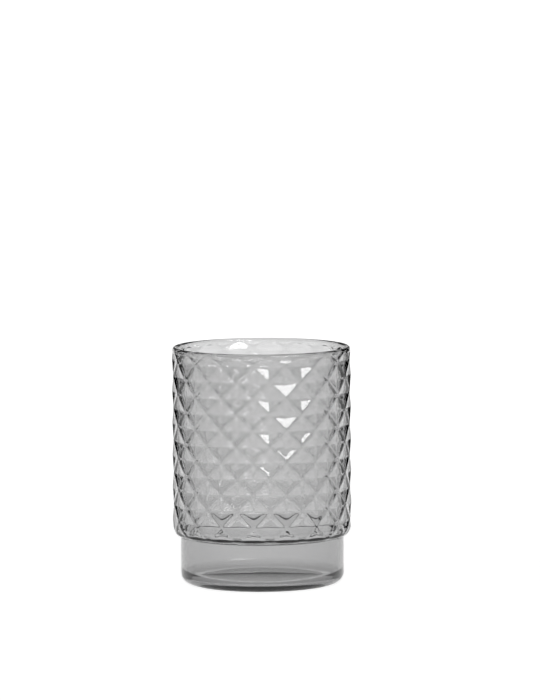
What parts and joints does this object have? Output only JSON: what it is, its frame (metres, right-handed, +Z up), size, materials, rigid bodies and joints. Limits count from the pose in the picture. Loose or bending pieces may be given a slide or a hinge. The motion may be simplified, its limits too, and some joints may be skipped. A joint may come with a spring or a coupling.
{
  "type": "whiskey tumbler",
  "caption": "Smoke-grey glass tumbler with a wide sleeve of moulded diamond hollows stepping in over a rounded shoulder to a plain, narrower foot.",
  "frame": {"origin": "centre of the resting ring under the foot, in the plane the tumbler stands on", "axes": "+Z up the axis of the glass and out of the mouth; -Y through the middles of an upright column of hollows; +X to the right of that column"},
  "size_m": [0.0796, 0.08, 0.106],
  "materials": {
    "smoke_glass": "clear polished smoke-grey glass"
  },
  "bodies": {
    "root": {"rim_lip": "smoke_glass", "faceted_sleeve": "smoke_glass", "shoulder_ring": "smoke_glass", "foot_wall": "smoke_glass", "base_floor": "smoke_glass"}
  },
  "joints": []
}
